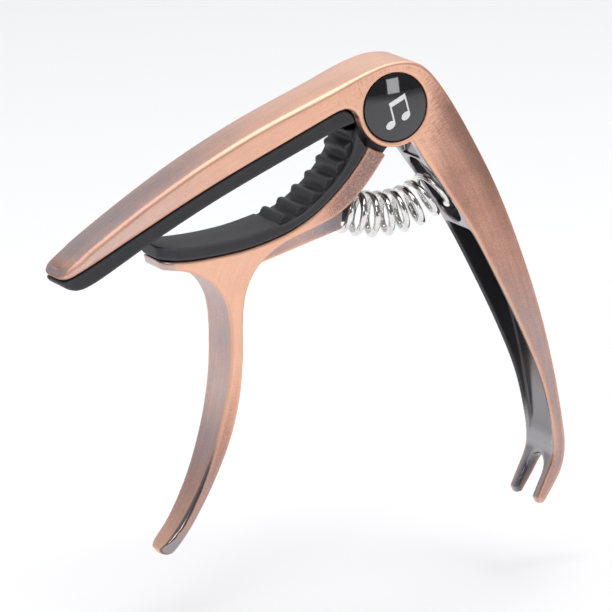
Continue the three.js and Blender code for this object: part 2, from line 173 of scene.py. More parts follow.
# ---- outlines ----
ARM_TOP = [
    (-66.9, -24.0), (-65.9, -23.1), (-63, -21.2), (-60, -19.0), (-50, -12.8), (-39, -6.7),
    (-27, -1.1), (-14, 3.9), (-6, 7.0), (0, 8.4), (5.4, 7.5), (9.9, 2.5),
]
HANDLE_BACK = [
    (9.9, 2.5), (15.0, -6.2), (20.6, -17.6), (25.3, -30.0), (29.0, -42.0), (31.8, -54.5),
    (33.5, -66.0), (33.6, -70.2), (32.8, -73.2), (31.3, -75.7), (29.8, -77.9),
]
HANDLE_FRONT = [
    (27.4, -77.9), (28.8, -75.0), (30.2, -72.2), (31.1, -69.4), (31.0, -65.0), (29.1, -55.8),
    (25.4, -46.2), (20.2, -35.0), (15.3, -25.4), (10.4, -17.4), (5.4, -10.0),
]
ARM_UNDERSIDE = [
    (-12.2, 0.2), (-21.6, -3.8), (-37.2, -10.6), (-52.5, -18.1), (-60.2, -22.0), (-65.6, -24.5),
]
ARM_TIP = [(-66.4, -24.5)]
FORK_TIP = [(29.0, -79.0), (27.9, -79.0)]
HUB_FILLET = [(-7.5, -0.9), (-8.2, 0.3), (-9.3, 0.9), (-10.6, 0.8), (-12.2, 0.2)]
CHANNEL_FLOOR = [
    (20.4, -20.2), (24.2, -30.4), (27.9, -42.4), (29.9, -50.6), (31.05, -58), (31.6, -62.5),
    (31.8, -65.5), (31.0, -68.2),
]
CORE = [(-27.5, -26.2), (-10.5, -21.7), (-10.2, -16.5), (-24, -21.9)]
TONGUE = [(-5.0, -9.2), (-4.2, -2.8), (4.6, -2.8), (-3.0, -10.8)]
JAW_SEAT = [
    (-47.4, -23.2), (-42, -23.7), (-36, -23.5), (-30, -22.9), (-24, -21.5), (-19.6, -19.8),
    (-15.6, -17.5), (-11.6, -14.2), (-8.2, -10.7), (-5.6, -7.3),
]
JAW_BACK = [
    (-1.9, -8.8), (-4.6, -12.3), (-7.6, -15.6), (-10.4, -17.9), (-13.5, -19.5), (-17.5, -20.9),
    (-21.9, -22.3), (-25.8, -24.4), (-28.8, -27.2), (-30.7, -31.0), (-31.5, -36), (-31.7, -43),
    (-32.4, -50.5), (-34.4, -58.5), (-37.9, -66.8), (-42.0, -74.0), (-44.7, -77.4),
]
TRIGGER_TIP = [(-45.7, -78.5), (-46.4, -78.95), (-47.1, -79.0), (-47.8, -78.7)]
TRIGGER_FRONT = [
    (-48.4, -77.7), (-44.5, -73.2), (-40.1, -65.5), (-36.8, -57), (-34.8, -48.8), (-34.0, -41),
    (-34.2, -34.6), (-35.2, -31.2), (-37.3, -28.4), (-40.4, -26.4), (-43.6, -25.3), (-46.6, -25.0),
]
STRING_FACE = [
    (-10.9, -2.75), (-21.5, -7.1), (-35.5, -13.1), (-48.0, -19.2), (-58.0, -24.6), (-61.2, -26.1),
    (-62.6, -26.55), (-64.0, -26.6), (-65.3, -26.2), (-66.1, -25.6), (-66.6, -24.95), (-65.6, -24.8),
]
PAD_HEEL = [(-8.0, -2.0), (-8.1, -0.9), (-8.7, 0), (-9.6, 0.5), (-10.6, 0.4)]
PAD_TOP = [(-47.6, -20.6), (-42, -21.0), (-36, -20.9), (-30, -20.3), (-23.9, -19.0)]
RIB_LINE = [
    (-23.9, -19.3), (-19.9, -18.0), (-16.6, -15.9), (-13.4, -13.4), (-10.6, -10.3), (-8.7, -7.2),
    (-8.0, -3.6),
]
SPRING_LINE = [(-9.3, -18.9), (-3.4, -20.6), (1.2, -20.8), (6.2, -19.8), (10.9, -17.2)]


def smooth(points, relax=12):
    """A fair line through the points, evenly spaced, as an array of (x, z)."""
    p = np.array(points, float)
    ghost = np.vstack([p[0], p, p[-1]])
    pieces = []
    for i in range(len(p) - 1):
        a, b, c, d = ghost[i:i + 4]
        t = np.linspace(0, 1, 24, endpoint=False)[:, None]
        v, w = (c - a) / 2, (d - b) / 2
        cubic, square = 2 * b - 2 * c + v + w, 3 * c - 3 * b - 2 * v - w
        pieces.append(cubic * t**3 + square * t**2 + v * t + b)
    line = resample(np.vstack([*pieces, p[-1:]]))
    for _ in range(relax):
        line[1:-1] = (line[:-2] + 2 * line[1:-1] + line[2:]) / 4
    return line


def resample(line, spacing=FINE):
    run = np.concatenate([[0], np.cumsum(np.hypot(*np.diff(line, axis=0).T))])
    stops = np.linspace(0, run[-1], max(2, int(run[-1] / spacing) + 1))
    return np.column_stack([np.interp(stops, run, line[:, 0]), np.interp(stops, run, line[:, 1])])


def arc(x, z, radius, start, end, count=24):
    angles = np.radians(np.linspace(start, end, count))
    return np.column_stack([x + radius * np.cos(angles), z + radius * np.sin(angles)])


def offset(line, distance):
    """The line moved to its left by a distance."""
    along = np.gradient(line, axis=0)
    along /= np.linalg.norm(along, axis=1)[:, None]
    return line + distance * np.column_stack([-along[:, 1], along[:, 0]])


# ---- solids as distance fields ----
class Space:
    """A block of space on a regular grid. Fields in it are signed distances, negative inside."""

    def __init__(self, low, high, step=STEP):
        self.low, self.step = np.array(low, np.float32), step
        x, y, z = [np.arange(a, b + step, step, dtype=np.float32) for a, b in zip(low, high)]
        self.x, self.y, self.z = x[:, None, None], y[None, :, None], z[None, None, :]

    def outline(self, points):
        """Distance to a closed outline in X-Z, the same at every Y."""
        x = np.broadcast_to(self.x[:, 0, :], (self.x.size, self.z.size))
        z = np.broadcast_to(self.z[0, 0, :], x.shape)
        nearest = np.full(x.shape, 1e9, np.float32)
        inside = np.zeros(x.shape, bool)
        for (ax, az), (bx, bz) in zip(points, np.roll(points, -1, axis=0)):
            ex, ez = bx - ax, bz - az
            length = ex * ex + ez * ez
            if length < 1e-9:
                continue
            px, pz = x - ax, z - az
            t = np.clip((px * ex + pz * ez) / length, 0, 1)
            nearest = np.minimum(nearest, (px - t * ex) ** 2 + (pz - t * ez) ** 2)
            if ez != 0:
                inside ^= ((az > z) != (bz > z)) & (px < ex * pz / ez)
        nearest = np.sqrt(nearest)
        return np.where(inside, -nearest, nearest)[:, None, :]

    def slab(self, flat, half_width, rounding=0.0):
        """A flat shape made into a plate, centred on Y = 0, with rounded edges."""
        a = flat + rounding
        b = np.abs(self.y) - half_width + rounding
        return np.minimum(np.maximum(a, b), 0) + np.hypot(np.maximum(a, 0), np.maximum(b, 0)) - rounding

    def disc(self, x, z, radius):
        return np.hypot(self.x - x, self.z - z) - radius

    def along(self, x, z, degrees):
        """Distances along and across a line in X-Z that starts at a point."""
        c, s = math.cos(math.radians(degrees)), math.sin(math.radians(degrees))
        return (self.x - x) * c + (self.z - z) * s, (self.z - z) * c - (self.x - x) * s

    def round_end(self, body, x, z, degrees, half_width, radius, stretch=1.0):
        """Ends a body at a line across X-Z, with its corners rounded as seen square on."""
        run, _ = self.along(x, z, degrees)
        a = run / stretch + radius
        b = np.abs(self.y) - half_width + radius - 0.5 * np.maximum(0, -a)
        end = np.minimum(np.maximum(a, b), 0) + np.hypot(np.maximum(a, 0), np.maximum(b, 0)) - radius
        return -join(-body, -end, 0.5)

    def sample(self, values, points):
        """The field's value at any points, from the eight grid points around each."""
        at = (points - self.low) / self.step
        cell = np.clip(np.floor(at).astype(int), 0, np.array(values.shape) - 2)
        f = at - cell
        total = np.zeros(len(points))
        for corner in np.ndindex(2, 2, 2):
            share = np.prod(np.where(corner, f, 1 - f), axis=1)
            i, j, k = (cell + corner).T
            total += share * values[i, j, k]
        return total

    def slope(self, values, points, reach):
        """Gradient and curvature of the field at the points."""
        middle = self.sample(values, points)
        gradient, bend = np.zeros_like(points), -6 * middle
        for axis in range(3):
            push = np.zeros(3)
            push[axis] = reach
            ahead, behind = self.sample(values, points + push), self.sample(values, points - push)
            gradient[:, axis] = (ahead - behind) / (2 * reach)
            bend += ahead + behind
        return middle, gradient, bend / reach**2

    def surface(self, values):
        """Vertices and quads of the surface where the field is zero."""
        inside = values < 0
        corners = [np.array(c) for c in np.ndindex(2, 2, 2)]
        size = np.array(values.shape) - 1
        count = np.zeros(size, np.int8)
        for c in corners:
            count += inside[c[0]:c[0] + size[0], c[1]:c[1] + size[1], c[2]:c[2] + size[2]]
        active = (count > 0) & (count < 8)
        cells = np.argwhere(active)
        number = np.full(size, -1, np.int64)
        number[active] = np.arange(len(cells))
        total, hits = np.zeros((len(cells), 3)), np.zeros(len(cells))
        for a in corners:
            for axis in range(3):
                if a[axis]:
                    continue
                b = a.copy()
                b[axis] = 1
                va, vb = values[tuple((cells + a).T)], values[tuple((cells + b).T)]
                cut = (va < 0) != (vb < 0)
                t = va[cut] / (va[cut] - vb[cut])
                total[cut] += a + t[:, None] * (b - a)
                hits[cut] += 1
        points = self.low + (cells + total / hits[:, None]) * self.step
        quads = []
        for axis in range(3):
            one, two = [i for i in range(3) if i != axis]
            ahead = [slice(None)] * 3
            ahead[axis] = slice(1, None)
            behind = [slice(None)] * 3
            behind[axis] = slice(None, -1)
            first, second = inside[tuple(behind)], inside[tuple(ahead)]
            edges = np.argwhere(first != second)
            edges = edges[(edges[:, one] > 0) & (edges[:, two] > 0)]
            leaving = first[tuple(edges.T)] == (axis != 1)
            step_one, step_two = np.eye(3, dtype=int)[one], np.eye(3, dtype=int)[two]
            around = [edges, edges - step_one, edges - step_one - step_two, edges - step_two]
            quad = np.column_stack([number[tuple(e.T)] for e in around])
            quad[~leaving] = quad[~leaving][:, ::-1]
            quads.append(quad)
        return self.settle(values, points), np.vstack(quads)

    def settle(self, values, points):
        """Points moved along the field's slope onto its surface."""
        for _ in range(3):
            middle, gradient, _ = self.slope(values, points, self.step * 0.5)
            steepness = np.maximum((gradient**2).sum(1), 0.2)
            points = points - gradient * np.clip(middle / steepness, -0.2, 0.2)[:, None]
        return points


def join(a, b, blend):
    """Both fields as one solid, with a fillet."""
    h = np.clip(0.5 + 0.5 * (b - a) / blend, 0, 1)
    return b + (a - b) * h - blend * h * (1 - h)


def cut(a, b, blend):
    """The first field less the second, with a broken edge."""
    return -join(-a, b, blend)


def line_position(points, line):
    """Arc length of each point's nearest place on a line in X-Z, and the signed distance to it."""
    run = np.concatenate([[0], np.cumsum(np.hypot(*np.diff(line, axis=0).T))])
    best = np.full(len(points), 1e9)
    at, side = np.zeros(len(points)), np.zeros(len(points))
    x, z = points[:, 0], points[:, 2]
    for i in range(len(line) - 1):
        (ax, az), (bx, bz) = line[i], line[i + 1]
        ex, ez = bx - ax, bz - az
        length = math.hypot(ex, ez)
        t = np.clip(((x - ax) * ex + (z - az) * ez) / length**2, 0, 1)
        gap = np.hypot(x - ax - t * ex, z - az - t * ez)
        closer = gap < best
        best[closer] = gap[closer]
        at[closer] = (run[i] + t * length)[closer]
        side[closer] = (((x - ax) * ez - (z - az) * ex) / length)[closer]
    return at, best * np.sign(side)


def ramp(value, start, end):
    """Rises smoothly from 0 at start to 1 at end."""
    t = np.clip((value - start) / (end - start), 0, 1)
    return t * t * (3 - 2 * t)


# ---- pieces ----
# The limits of a ramp over x, y, z, width, reach, front or depth are in millimetres.
def make_piece(name, points, faces, body, material, stands_for, attributes=()):
    mesh = bpy.data.meshes.new(name)
    mesh.from_pydata(((points + PIVOT) * MM).tolist(), [], [list(f) for f in faces])
    mesh.polygons.foreach_set("use_smooth", [True] * len(mesh.polygons))
    for label, values in dict(attributes).items():
        if values.ndim == 2:
            mesh.attributes.new(label, "FLOAT_VECTOR", "POINT").data.foreach_set("vector", values.ravel())
        else:
            mesh.attributes.new(label, "FLOAT", "POINT").data.foreach_set("value", values)
    mesh.materials.append(material)
    piece = bpy.data.objects.new(name, mesh)
    bpy.context.scene.collection.objects.link(piece)
    if body:
        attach(piece, body)
    if stands_for:
        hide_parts(*stands_for)
    return piece


def dress(node, material):
    slots = frame["nodes"][node].data.materials
    slots.clear()
    slots.append(material)


def wear_and_sheen(space, values, points):
    """How convex and how concave the surface is at each point, from 0 to 1."""
    _, _, bend = space.slope(values, points, WEAR_AND_SHEEN_REACH)
    return np.clip(bend / SHARPEST_BEND, 0, 1), np.clip(-bend / SHARPEST_BEND, 0, 1)


def frame_field(space):
    top = smooth(ARM_TOP + HANDLE_BACK[1:])
    front = smooth(HANDLE_FRONT)
    under = smooth(ARM_UNDERSIDE)
    hub = arc(0, 0, HUB_RADIUS, -62, -163, 40)
    outline = np.vstack([ARM_TIP, top, FORK_TIP, front, hub, smooth(HUB_FILLET), under])
    half = BODY_HALF_WIDTH * (1 - ARM_TAPER * np.maximum(0, ARM_TAPER_START - space.x))
    crown = ramp(-space.x, 0, 14) * ramp(space.z - space.x * 0.45, 6.3, 7.4)
    fork = ramp(-space.z, 66, 72)
    rounding = FRAME_ROUNDING + 0.15 * crown + 0.5 * fork
    flat = space.outline(outline) - CROWN_HEIGHT * crown * (1 - (space.y / CROWN_HALF_WIDTH) ** 2)
    body = space.slab(flat, half, rounding)
    body = space.round_end(body, *ARM_END, ARM_END_HALF_WIDTH, ARM_END_RADIUS)
    rim = front[(front[:, 1] > CHANNEL_BOTTOM) & (front[:, 1] < CHANNEL_TOP)]
    channel = np.vstack([offset(rim, 3), smooth(CHANNEL_FLOOR)])
    body = cut(body, space.slab(space.outline(channel), BODY_HALF_WIDTH - WALL, 0.6), 0.5)
    run, depth = space.along(*SEAT)
    oval = np.hypot(np.maximum(np.abs(run) - SEAT_STRETCH, 0), space.y) - SEAT_RADIUS
    body = cut(body, np.maximum(oval, np.abs(depth) - SEAT_DEPTH), 0.35)
    above = space.z - NOTCH_HEIGHT
    notch = np.where(above > 0, np.hypot(space.y, above), np.abs(space.y)) - NOTCH_RADIUS
    body = cut(body, np.maximum(notch, NOTCH_START - space.x), 1.2)
    groove = np.vstack([offset(under, -GROOVE_DEPTH), offset(under, 2)[::-1]])
    groove = groove[groove[:, 0] > GROOVE_END]
    groove_half = half * GROOVE_HALF_WIDTH / BODY_HALF_WIDTH
    body = cut(body, space.slab(space.outline(groove), groove_half), 0.3)
    around_eye = space.disc(0, 0, EYE_RADIUS + EYE_CLEARANCE)
    body = cut(body, space.slab(around_eye, SLOT_HALF_WIDTH), 0.3)
    slot_left, slot_right = SLOT_SIDES
    slot = np.maximum(slot_left - space.x, space.x - slot_right)
    slot = np.maximum(slot, np.maximum(SLOT_BOTTOM - space.z, space.z))
    body = cut(body, space.slab(slot, SLOT_HALF_WIDTH), 0.3)
    body = cut(body, space.slab(space.disc(0, 0, BORE_RADIUS), BORE_HALF_LENGTH), 0.2)
    seat = np.maximum(space.disc(0, 0, BADGE_RECESS_RADIUS), BADGE_SEAT - np.abs(space.y))
    return cut(body, seat, 0.35)


def make_frame(material):
    space = Space((-68.4, -6.9, -80.0), (34.8, 7.1, 9.6))
    values = frame_field(space)
    points, faces = space.surface(values)
    edge, hollow = wear_and_sheen(space, values, points)
    _, normal, _ = space.slope(values, points, 0.2)
    spine = smooth(ARM_TOP + HANDLE_BACK[1:], relax=40)
    run, depth = line_position(points, spine)
    x, y, z = points.T
    width = np.abs(y)
    depth_in = np.abs(depth)
    side = np.abs(normal[:, 1])
    reach = np.hypot(x, z)
    _, front = line_position(points, smooth(HANDLE_FRONT))
    front = np.abs(front)
    handle = ramp(x, 8, 10)
    # Polished plating on everything between the handle's edges.
    between = ramp(-z, 7.2, 8.4) * ramp(x, -3, 0) * ramp(-width, -5.8, -5.5)
    tine = ramp(-z, 68, 71) * ramp(width, 4.2, 4.8)
    plated = between * ramp(depth_in, 0.9, 1.4) * (1 - 0.5 * tine)
    # Painted shade: dark colour in the lever's slot, the channel, on its rim and in the fork, where shade
    # falls; lit_floor keeps the channel's lower floor lighter, a painted light.
    in_slot = ramp(-width, -4.4, -4.0) * ramp(-reach, -9.2, -8.4) * ramp(reach - HUB_RADIUS, 0, -0.4)
    inside = handle * ramp(-width, -5.3, -5.0) * ramp(-z, 22, 24) * ramp(z, -69.5, -67)
    inside *= ramp(front, 0.25, 0.7) * ramp(depth_in, 0.5, 0.8)
    lit_floor = 0.6 * ramp(-z, 50, 60) * (1 - side)
    rim = handle * ramp(-z, 24, 27) * ramp(z, -66, -60) * ramp(-width, -5.72, -5.6)
    rim *= ramp(-front, -0.8, -0.5)
    notch = ramp(-width, -3.7, -3.3) * ramp(-z, 70.5, 71.5) * side
    dark = np.maximum.reduce([inside * (1 - lit_floor), 0.95 * rim, 0.8 * notch, 0.9 * in_slot])
    # Patina, from bright copper at 0 to brown at 1.
    top_tone = 0.62 - 0.50 * ramp(x, -52, -10) + 0.20 * ramp(x, 2, 14)
    side_tone = 0.22 + 0.46 * ramp(x, 4, 12) * ramp(-z, -6, 3) - 0.04 * ramp(-z, 32, 56)
    back_tone = 0.36 * ramp(x, 4, 10) * ramp(-depth_in, -4.5, -0.5) * ramp(z, -34, -12)
    patina = side * (side_tone + back_tone) + (1 - side) * top_tone + 0.2 * hollow
    patina += 0.6 * edge * ramp(-x, 12, 50)
    # Grey film over the copper.
    top_dull = 0.95 - 0.55 * ramp(x, -58, -12)
    side_dull = 0.06 + 0.72 * ramp(-x, 18, 60) + 0.80 * ramp(-z, 18, 48) * ramp(x, 8, 14)
    dull = side * side_dull + (1 - side) * top_dull
    brush = ramp(-reach, -15, -9) * side
    grain = np.column_stack([run, depth, y]).astype(np.float32)
    return make_piece("frame_casting", points, faces, "frame", material, ["frame_body"], {
        "grain": grain, "edge": edge, "patina": patina, "plated": np.maximum(plated, in_slot),
        "cast": 0.0 * x, "dull": dull, "dark": dark, "brush": brush,
    })


def lever_field(space):
    strip_end = arc(0, 0, STRIP_END_RADIUS, -127, -107, 8)
    outline = np.vstack([
        smooth(JAW_SEAT), strip_end, smooth(JAW_BACK), TRIGGER_TIP, smooth(TRIGGER_FRONT),
    ])
    half = LEVER_HALF_WIDTH * (1 - TRIGGER_TAPER * np.maximum(0, TRIGGER_TAPER_START - space.z))
    rounding = LEVER_ROUNDING + 0.8 * ramp(-space.z, 52, 76)
    lever = space.slab(space.outline(outline), half, rounding)
    lever = space.round_end(
        lever, *TRIGGER_END, TRIGGER_END_HALF_WIDTH, TRIGGER_END_RADIUS, TRIGGER_END_STRETCH)
    jaw = space.round_end(lever, *JAW_END, LEVER_HALF_WIDTH, JAW_END_RADIUS)
    lever = np.where(space.z > JAW_BOTTOM, jaw, lever)
    lever = join(lever, space.slab(space.outline(np.array(CORE)), CORE_HALF_WIDTH, 0.5), 0.5)
    run, across = space.along(*SPRING_LINE[0], SPRING_SLOPE)
    from_axis = np.hypot(across, space.y)
    pocket = np.maximum(from_axis - POCKET_RADIUS, -POCKET_DEPTH - run)
    lever = cut(lever, np.maximum(pocket, run - 8), 0.2)
    lever = join(lever, space.slab(space.outline(np.array(TONGUE)), EYE_HALF_WIDTH, 0.2), 0.3)
    lever = join(lever, space.slab(space.disc(0, 0, EYE_RADIUS), EYE_HALF_WIDTH, 0.3), 0.3)
    peg = np.maximum(from_axis - (PEG_RADIUS - PEG_TAPER * run), np.abs(run) - PEG_LENGTH)
    lever = join(lever, peg, 0.4)
    return cut(lever, space.slab(space.disc(0, 0, BORE_RADIUS), BORE_HALF_LENGTH), 0.2)


def make_lever(material):
    space = Space((-49.8, -6.2, -80.0), (6.4, 6.4, 6.4))
    values = lever_field(space)
    points, faces = space.surface(values)
    edge, hollow = wear_and_sheen(space, values, points)
    _, normal, _ = space.slope(values, points, 0.2)
    spine = smooth(JAW_BACK[::-1], relax=40)
    run, depth = line_position(points, spine)
    x, y, z = points.T
    width = np.abs(y)
    side = np.abs(normal[:, 1])
    low = ramp(-z, 58, 70)
    jaw_end = ramp(z, -34, -30)
    core = ramp(-width, -4.9, -4.4) * ramp(x, -29, -25)
    cast = ramp(x, -18, -10) * ramp(-z, 5, 7)
    # Dark colour on the eye and tongue, painted shade in the spring's pocket and a painted dark
    # reflection along the trigger's edge.
    hub_part = ramp(-width, -3.2, -2.9) * ramp(z, -10.5, -9.5)
    hub_part = np.maximum(ramp(-np.hypot(x, z), -8.9, -8.4), hub_part)
    spring_side = ramp(x, -10.4, -9.8) * ramp(-z, 13, 14) * ramp(-width, -4.9, -4.5)
    # A painted dark reflection on the trigger's rounded edge, beside its highlight.
    painted_dark_reflection = 0.75 * ramp(-z, 56, 64) * ramp(side, 0.12, 0.3) * ramp(-side, -0.62, -0.45)
    dark = np.maximum.reduce([hub_part, 0.85 * spring_side, painted_dark_reflection])
    # Patina, from bright copper at 0 to brown at 1.
    face_tone = 0.50 + 0.22 * np.sin(z / 6.0) * ramp(-z, 40, 50) - 0.22 * low
    side_tone = 0.08 + 0.12 * ramp(x, -34, -16) + 0.62 * ramp(-z, 38, 62)
    patina = side * side_tone + (1 - side) * face_tone + 0.3 * hollow
    patina = np.maximum(patina, 0.55 * core) + 0.5 * cast
    # Plating that shows where the copper is worn: the trigger's lower edge and tip, and the jaw's end.
    copper_side = 0.75 * ramp(side, 0.88, 0.97) * ramp(z, -77, -74)
    worn = 0.9 * ramp(-z, 56, 66) * ramp(side, 0.3, 0.6) * (1 - copper_side)
    worn = np.maximum(worn, 0.6 * ramp(-x, 43.5, 46) * jaw_end)
    # Grey film over the copper.
    dull = (1 - side) * (0.85 - 0.45 * low) + side * 0.25 * ramp(-z, 50, 66)
    dull = np.maximum.reduce([dull, 0.8 * core, 0.75 * ramp(-x, 42, 46) * jaw_end])
    grain = np.column_stack([run, depth, y]).astype(np.float32)
    return make_piece("lever_casting", points, faces, "lever", material, ["clamp_lever"], {
        "grain": grain, "edge": edge, "patina": patina, "plated": worn,
        "cast": cast, "dull": dull + 0.55 * cast, "dark": dark, "brush": 0.0 * x,
    })


def make_string_pad(material):
    space = Space((-67.4, -6.2, -28.0), (-7.2, 6.2, 2.4), PAD_STEP)
    under = smooth(ARM_UNDERSIDE)
    top = offset(under, PAD_GAP)[:-PAD_END_SLACK]
    outline = np.vstack([smooth(PAD_HEEL), top, smooth(STRING_FACE, relax=3)[::-1]])
    taper = 1 - ARM_TAPER * np.maximum(0, ARM_TAPER_START - space.x)
    pad = space.slab(space.outline(outline), STRING_PAD_HALF_WIDTH * taper, 0.55)
    insert = np.vstack([offset(under, -INSERT_DEPTH), offset(under, 1)[::-1]])
    insert_left, insert_right = INSERT_SIDES
    insert = insert[(insert[:, 0] > insert_left) & (insert[:, 0] < insert_right)]
    pad = join(pad, space.slab(space.outline(insert), INSERT_HALF_WIDTH * taper, 0.2), 0.2)
    pad = space.round_end(pad, *STRING_PAD_END, STRING_PAD_END_HALF_WIDTH, STRING_PAD_END_RADIUS)
    points, faces = space.surface(pad)
    edge, _ = wear_and_sheen(space, pad, points)
    # The edge value paints sheen along the pad's edges.
    return make_piece("string_pad_silicone", points, faces, "frame", material,
                      ["string_pad"], {"edge": edge})


def make_neck_pad(material):
    space = Space((-48.6, -6.2, -25.0), (-4.6, 6.2, -2.6), PAD_STEP)
    seat = offset(smooth(JAW_SEAT), PAD_GAP)
    outline = np.vstack([seat[::-1], smooth(PAD_TOP), smooth(RIB_LINE)[1:]])
    base = space.slab(space.outline(outline), NECK_PAD_HALF_WIDTH, 0.35)
    line = resample(smooth(RIB_LINE), 0.15)
    share = np.linspace(0, RIB_COUNT, len(line))
    lift = RIB_HEIGHT * (0.5 - 0.5 * np.cos(2 * math.pi * share)) ** 0.8
    crests = offset(line, 1.0) - line
    ribs = np.vstack([line + crests * lift[:, None], offset(line, -0.8)[::-1]])
    pad = join(base, space.slab(space.outline(ribs), RIB_HALF_WIDTH, 0.35), 0.2)
    pad = space.round_end(pad, *NECK_PAD_END, NECK_PAD_HALF_WIDTH, NECK_PAD_END_RADIUS)
    points, faces = space.surface(pad)
    edge, hollow = wear_and_sheen(space, pad, points)
    # Edge less hollow paints sheen on the ribs' crests and shade between them.
    return make_piece("neck_pad_silicone", points, faces, "lever", material,
                      ["neck_pad"], {"edge": edge - hollow})


def make_spring(material):
    line = smooth(SPRING_LINE, relax=30)
    run = np.concatenate([[0], np.cumsum(np.hypot(*np.diff(line, axis=0).T))])
    steps = int(SPRING_TURNS * STEPS_PER_TURN)
    share = np.linspace(0, 1, steps + 1)
    centre = np.column_stack([np.interp(share * run[-1], run, line[:, i]) for i in range(2)])
    along = np.gradient(centre, axis=0)
    along /= np.linalg.norm(along, axis=1)[:, None]
    turn = 2 * math.pi * SPRING_TURNS * share
    across = SPRING_RADIUS * np.cos(turn)
    wire = np.column_stack([
        centre[:, 0] - along[:, 1] * across,
        -SPRING_RADIUS * np.sin(turn),
        centre[:, 1] + along[:, 0] * across,
    ])
    forward = np.gradient(wire, axis=0)
    forward /= np.linalg.norm(forward, axis=1)[:, None]
    outward = wire - np.column_stack([centre[:, 0], np.zeros(steps + 1), centre[:, 1]])
    outward -= forward * (outward * forward).sum(1)[:, None]
    outward /= np.linalg.norm(outward, axis=1)[:, None]
    third = np.cross(forward, outward)
    angles = np.linspace(0, 2 * math.pi, WIRE_SIDES, endpoint=False)
    rings = [
        wire + WIRE_RADIUS * (outward * math.cos(a) + third * math.sin(a)) for a in angles
    ]
    points = np.stack(rings, axis=1).reshape(-1, 3)
    faces = []
    for i in range(steps):
        for j in range(WIRE_SIDES):
            a, b = i * WIRE_SIDES + j, i * WIRE_SIDES + (j + 1) % WIRE_SIDES
            faces.append((a, b, b + WIRE_SIDES, a + WIRE_SIDES))
    faces.append(tuple(range(WIRE_SIDES))[::-1])
    faces.append(tuple(steps * WIRE_SIDES + j for j in range(WIRE_SIDES)))
    spring = make_piece("spring_coil", points, faces, None, material, ["return_spring"])
    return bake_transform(spring)


def dome_height(radius):
    """Height of the resin above the badge disc at a distance from its middle."""
    sphere = (BADGE_RADIUS**2 + DOME_RISE**2) / (2 * DOME_RISE)
    height = np.sqrt(sphere**2 - np.minimum(radius, BADGE_RADIUS) ** 2) - (sphere - DOME_RISE)
    return DOME_RIM + height


def make_badge(side, label, print_material, resin, ink):
    node_low, node_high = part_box(f"badge_dome_{label}")
    base = (node_high.y if side < 0 else node_low.y) / MM
    spread = np.sin(np.linspace(0, math.pi / 2, DOME_RINGS))[1:]
    radii = np.concatenate([BADGE_RADIUS * spread, [BADGE_RADIUS]])
    heights = np.concatenate([dome_height(radii[:-1]), [0.0]])
    angles = np.linspace(0, 2 * math.pi, DOME_SECTORS, endpoint=False)
    points = [(0, base + side * dome_height(0.0), 0)]
    for radius, height in zip(radii, heights):
        level = base + side * height
        points += [(radius * math.cos(a), level, radius * math.sin(a)) for a in angles]
    faces = [(0, 1 + (j + 1) % DOME_SECTORS, 1 + j) for j in range(DOME_SECTORS)]
    for i in range(len(radii) - 1):
        start = 1 + i * DOME_SECTORS
        for j in range(DOME_SECTORS):
            a, b = start + j, start + (j + 1) % DOME_SECTORS
            faces.append((a, b, b + DOME_SECTORS, a + DOME_SECTORS))
    faces.append(tuple(1 + (len(radii) - 1) * DOME_SECTORS + j for j in range(DOME_SECTORS)))
    if side < 0:
        faces = [f[::-1] for f in faces]
    points = np.array(points, float) - [0, PIVOT[1], 0]
    make_piece(f"badge_dome_resin_{label}", points, faces, "frame", resin,
               [f"badge_dome_{label}"])
    dress(f"badge_disc_{label}", print_material)
    make_note(side, label, base, ink)


def turned(x, z, degrees):
    """A point turned about the origin."""
    c, s = math.cos(math.radians(degrees)), math.sin(math.radians(degrees))
    return x * c - z * s, x * s + z * c


def make_note(side, label, base, ink):
    """A generic pair of joined notes, printed flush on the dome."""
    angles = np.linspace(0, 2 * math.pi, NOTE_HEAD_SIDES, endpoint=False)
    half_length, half_height = NOTE_HEAD
    head = [turned(half_length * math.cos(a), half_height * math.sin(a), NOTE_HEAD_TURN) for a in angles]
    shapes = []
    for x0, z0 in NOTE_HEADS:
        shapes.append([(x0 + x, z0 + z) for x, z in head])
        shapes.append([(x0 + x, z0 + z) for x, z in NOTE_STEM])
    shapes.append(NOTE_BEAM)
    points, faces = [], []
    for number, shape in enumerate(shapes):
        shape = resample(np.array(shape + shape[:1]), NOTE_SPACING)[:-1]
        middle = shape.mean(0)
        layers = [middle + (shape - middle) * k for k in (1, 0.75, 0.5, 0.25)]
        start, count = len(points), len(shape)
        lift = INK_LIFT + 0.003 * number
        for x, z in np.vstack([*layers, middle[None]]):
            u, v = turned(x, z, NOTE_TILT)
            v -= NOTE_DROP
            level = base + side * (dome_height(math.hypot(u, v)) + lift)
            points.append((-u if side > 0 else u, level - PIVOT[1], v))
        for layer in range(len(layers) - 1):
            for j in range(count):
                ring = start + layer * count
                a, b = ring + j, ring + (j + 1) % count
                faces.append((a, b, b + count, a + count))
        inner, centre = start + (len(layers) - 1) * count, start + len(layers) * count
        faces += [(inner + j, inner + (j + 1) % count, centre) for j in range(count)]
    make_piece(f"badge_mark_{label}", np.array(points), faces, "frame", ink, [])


# ---- materials ----
GREY_PLATING = (0.33, 0.315, 0.33, 1)
# Dark colour of the eye and tongue, also used for painted shade and a painted dark reflection.
DARK_AND_PAINTED_SHADE = (0.045, 0.042, 0.047, 1)
FLOOR_COLOR = (0.93, 0.93, 0.935, 1)
SKY_COLOR = (0.95, 0.96, 1.0, 1)
GLOSS_BUMP = 0.00001  # bump heights, in metres
FINE_BUMP = 0.00002
SILICONE_BUMP = 0.00003
CAST_BUMP = 0.00014


